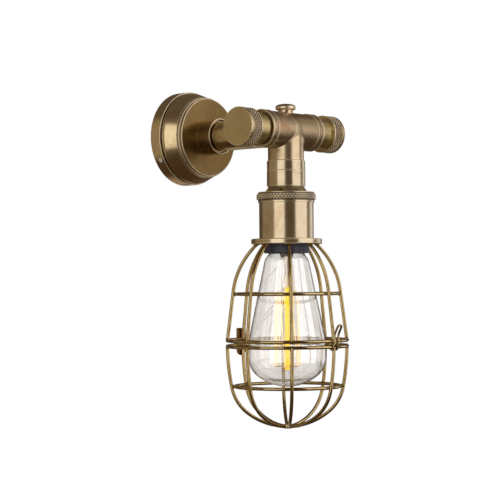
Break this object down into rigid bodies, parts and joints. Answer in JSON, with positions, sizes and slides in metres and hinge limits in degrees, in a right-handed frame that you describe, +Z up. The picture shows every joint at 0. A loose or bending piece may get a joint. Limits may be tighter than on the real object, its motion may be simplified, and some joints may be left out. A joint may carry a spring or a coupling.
{
  "type": "wall sconce",
  "caption": "Wall sconce in aged brass: a round rose and arm carry a knurled cross bar over a lampholder with a wire cage that opens on a hinge, round a clear filament bulb.",
  "frame": {"origin": "middle of the wall plate's back face, on the arm's axis", "axes": "+Y points into the wall, along the arm; the lamp stands out along -Y; +Z is up; +X is to the right for someone who faces the wall"},
  "size_m": [0.118, 0.1776, 0.2862],
  "materials": {
    "aged_brass": "aged, brown patina, worn edges",
    "plain_brass": "satin",
    "wire_brass": "aged, satin",
    "plated_steel": "zinc plated",
    "black_moulding": "satin black",
    "holder_moulding": "matte black",
    "terminal_moulding": "glossy white",
    "lead_sleeving": "matte",
    "clear_glass": "clear, faint amber",
    "mount_glass": "clear",
    "black_glass": "glossy black",
    "cap_metal": "bright",
    "filament_wire": "glowing carbon"
  },
  "bodies": {
    "fixture": {"wall_plate": "plated_steel", "wall_rose": "aged_brass", "rose_grub_screws": "plated_steel", "terminal_block": "terminal_moulding", "earth_screw": "plain_brass", "arm_lock_nut": "plated_steel", "arm_lock_washer": "plated_steel", "arm_collar": "aged_brass", "arm_tube": "aged_brass", "tee_body": "aged_brass", "neck_left": "plain_brass", "neck_right": "plain_brass", "top_screw": "aged_brass", "branch_nipple": "plated_steel", "nipple_nuts": "plated_steel", "branch_band": "aged_brass", "drop_sleeve": "aged_brass", "inner_leads": "lead_sleeving", "holder_cap": "aged_brass", "knurled_ring": "aged_brass", "holder_cup": "aged_brass", "lampholder_body": "holder_moulding", "screw_shell": "plain_brass", "centre_contact": "plain_brass", "shade_ring": "black_moulding", "cage_flange": "aged_brass", "cage_upper_ring": "wire_brass", "cage_lower_ring": "wire_brass", "hinge_upper_leaf": "wire_brass", "hinge_pin": "wire_brass", "bulb_glass": "clear_glass", "bulb_cap": "cap_metal", "bulb_insulator": "black_glass", "bulb_contact": "cap_metal", "bulb_stem": "mount_glass", "bulb_supports": "filament_wire", "bulb_filament": "filament_wire", "cage_rib_1": "wire_brass", "cage_rib_2": "wire_brass", "cage_rib_3": "wire_brass", "cage_rib_4": "wire_brass", "cage_rib_5": "wire_brass", "cage_rib_6": "wire_brass", "cage_rib_7": "wire_brass", "cage_rib_8": "wire_brass"},
    "basket": {"basket_top_ring": "wire_brass", "basket_lower_ring": "wire_brass", "basket_rib_1": "wire_brass", "basket_rib_2": "wire_brass", "basket_rib_3": "wire_brass", "basket_rib_4": "wire_brass", "basket_rib_5": "wire_brass", "basket_rib_6": "wire_brass", "basket_rib_7": "wire_brass", "basket_rib_8": "wire_brass", "basket_apex": "wire_brass", "hinge_lower_leaf": "wire_brass"},
    "latch": {"latch_clip": "wire_brass"},
    "left_knob": {"knob_left": "aged_brass"},
    "right_knob": {"knob_right": "aged_brass"}
  },
  "joints": [
    {"name": "basket_hinge", "type": "hinge", "parent": "fixture", "child": "basket", "pos_m": [0, -0.06601, -0.17545], "axis": [1, 0, 0], "range_deg": [0, 80]},
    {"name": "latch_pivot", "type": "hinge", "parent": "basket", "child": "latch", "pos_m": [0, -0.16734, -0.1778], "axis": [1, 0, 0], "range_deg": [0, 135]},
    {"name": "knob_left_turn", "type": "hinge", "parent": "fixture", "child": "left_knob", "pos_m": [-0.052, -0.118, 0], "axis": [1, 0, 0], "continuous": true},
    {"name": "knob_right_turn", "type": "hinge", "parent": "fixture", "child": "right_knob", "pos_m": [0.052, -0.118, 0], "axis": [1, 0, 0], "continuous": true}
  ]
}
